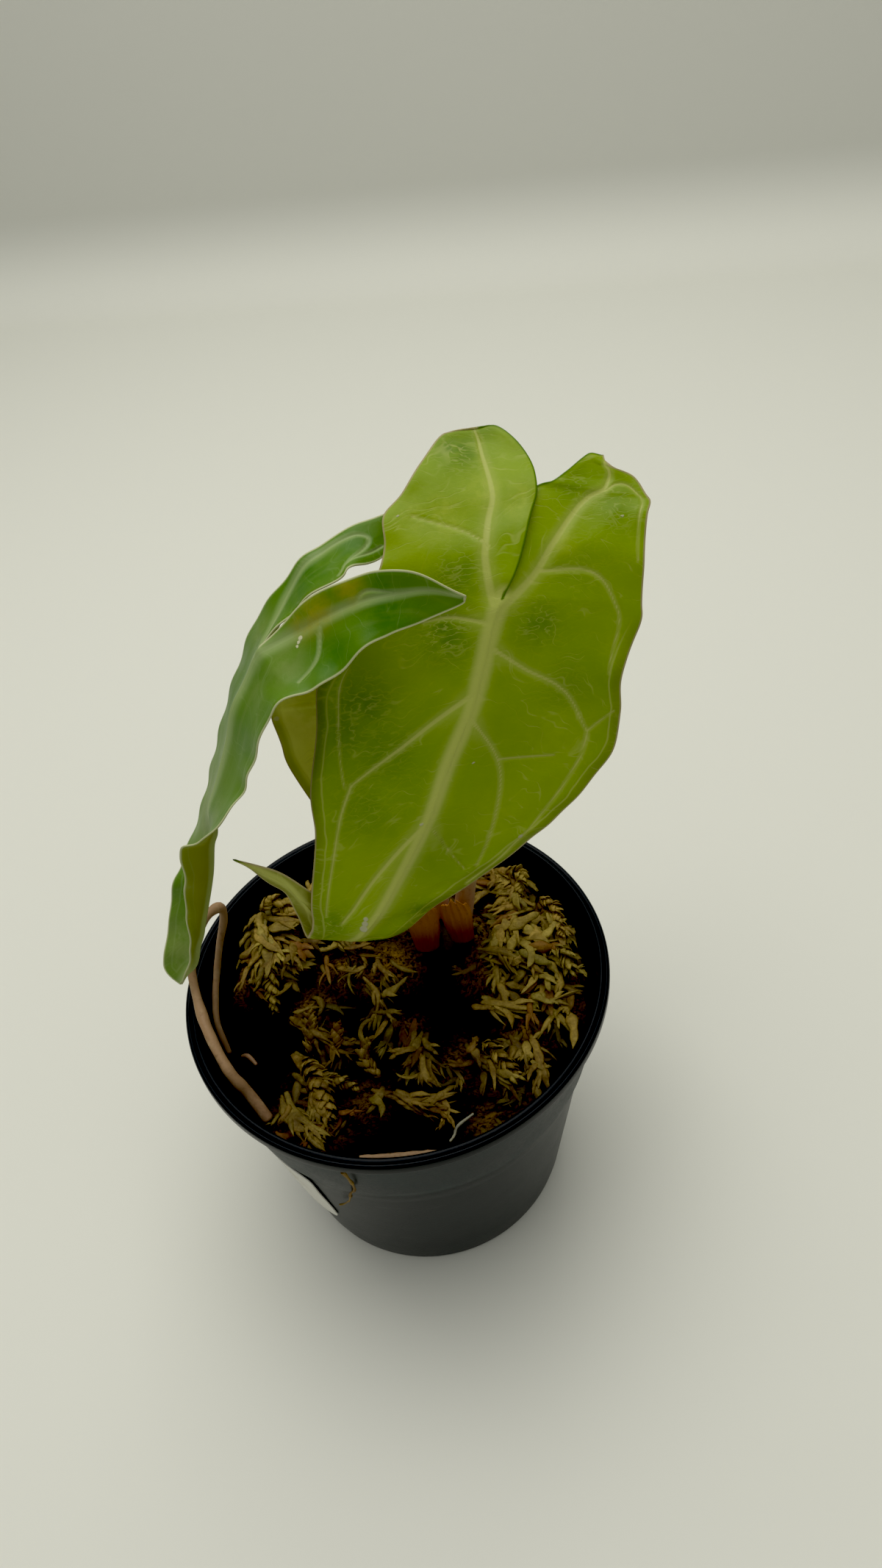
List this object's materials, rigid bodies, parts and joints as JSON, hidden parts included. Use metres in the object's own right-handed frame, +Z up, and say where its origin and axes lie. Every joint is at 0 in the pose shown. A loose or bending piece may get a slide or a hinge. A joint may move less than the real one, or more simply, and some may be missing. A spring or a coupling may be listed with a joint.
{
  "type": "potted alocasia",
  "caption": "Young alocasia with drooping arrow-shaped leaves, growing in sphagnum moss in a round black nursery pot with a blank label.",
  "frame": {"origin": "centre of the pot's flat base, on the surface it stands on", "axes": "+Z up along the pot's axis; -Y is the side the front leaf faces; +X to the right of that view"},
  "size_m": [0.1002, 0.09, 0.1743],
  "materials": {
    "pot_plastic": "semi-gloss blue-black injection-moulded plastic, dusty",
    "label_paper": "plain white coated label, blank",
    "moss": "damp long-fibre sphagnum, ochre to olive",
    "young_leaf": "glossy yellow-green leaf with pale veins",
    "old_leaf": "waxy grey-green leaf with pale veins",
    "leaf_stem": "smooth pale stem, pinkish at the foot and green above",
    "dry_sheath": "dry orange-brown leaf sheath",
    "stem_base": "dark wet corky stem",
    "root": "pinkish brown runner skin",
    "pale_root": "fresh pale root",
    "twig": "weathered twig"
  },
  "bodies": {
    "root": {"pot": "pot_plastic", "pot_label": "label_paper", "moss_bed": "moss", "stem_base": "stem_base", "front_leaf_blade": "young_leaf", "left_leaf_blade": "old_leaf", "rear_leaf_blade": "young_leaf", "front_leaf_stem": "leaf_stem", "left_leaf_stem": "leaf_stem", "rear_leaf_stem": "leaf_stem", "left_dry_sheath": "dry_sheath", "right_dry_sheath": "dry_sheath", "runner": "root", "runner_rootlet": "root", "fallen_twig": "twig", "pale_root": "pale_root", "hanging_moss_thread": "moss", "moss_tuft_1": "moss", "moss_tuft_2": "moss", "moss_tuft_3": "moss", "moss_tuft_4": "moss", "moss_tuft_5": "moss", "moss_tuft_6": "moss", "moss_tuft_7": "moss", "moss_tuft_8": "moss", "moss_tuft_9": "moss", "moss_tuft_10": "moss", "moss_tuft_11": "moss", "moss_tuft_12": "moss", "moss_tuft_13": "moss", "moss_tuft_14": "moss", "moss_tuft_15": "moss", "moss_tuft_16": "moss"}
  },
  "joints": []
}
